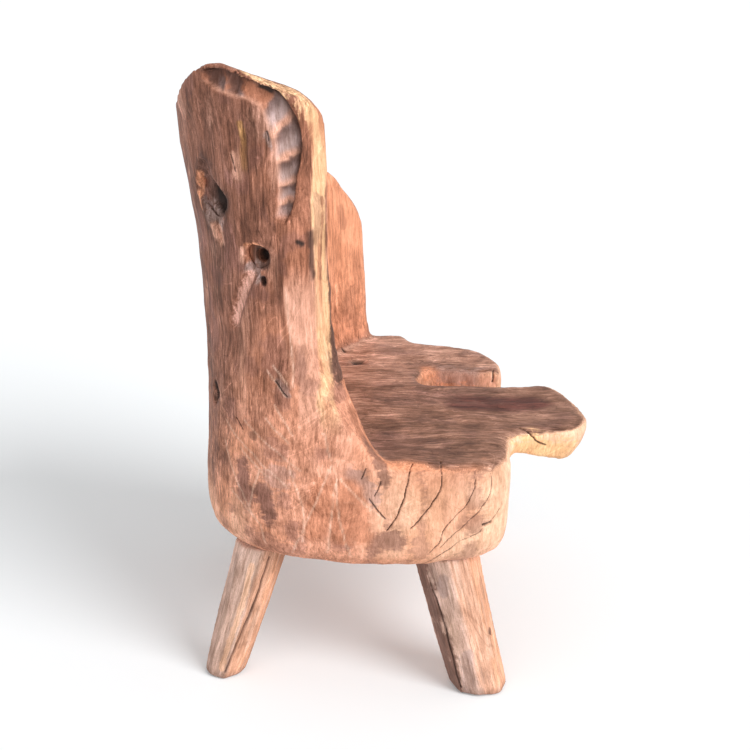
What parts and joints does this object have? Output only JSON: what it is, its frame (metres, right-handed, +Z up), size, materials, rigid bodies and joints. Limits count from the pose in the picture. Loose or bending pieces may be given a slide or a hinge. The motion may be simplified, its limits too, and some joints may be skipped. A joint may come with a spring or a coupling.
{
  "type": "carved trunk chair",
  "caption": "Low chair carved from one tree trunk: thick lobed seat, hollowed back sweeping from a tall wing to a low one, on splayed hewn peg legs.",
  "frame": {"origin": "middle of the chair's footprint box, on the floor", "axes": "+X to the front of the chair, +Y to the sitter's left, +Z up"},
  "size_m": [0.4896, 0.4498, 0.7688],
  "materials": {
    "carved_trunk": "hand hewn and worn smooth, dry old hardwood",
    "hewn_leg": "axe hewn, weathered, dry",
    "wedge_wood": "split hardwood, unfinished"
  },
  "bodies": {
    "root": {"trunk_body": "carved_trunk", "front_right_leg": "hewn_leg", "front_left_leg": "hewn_leg", "rear_right_leg": "hewn_leg", "rear_left_leg": "hewn_leg", "front_right_wedge": "wedge_wood", "front_left_wedge": "wedge_wood", "rear_right_wedge": "wedge_wood", "rear_left_wedge": "wedge_wood"}
  },
  "joints": []
}
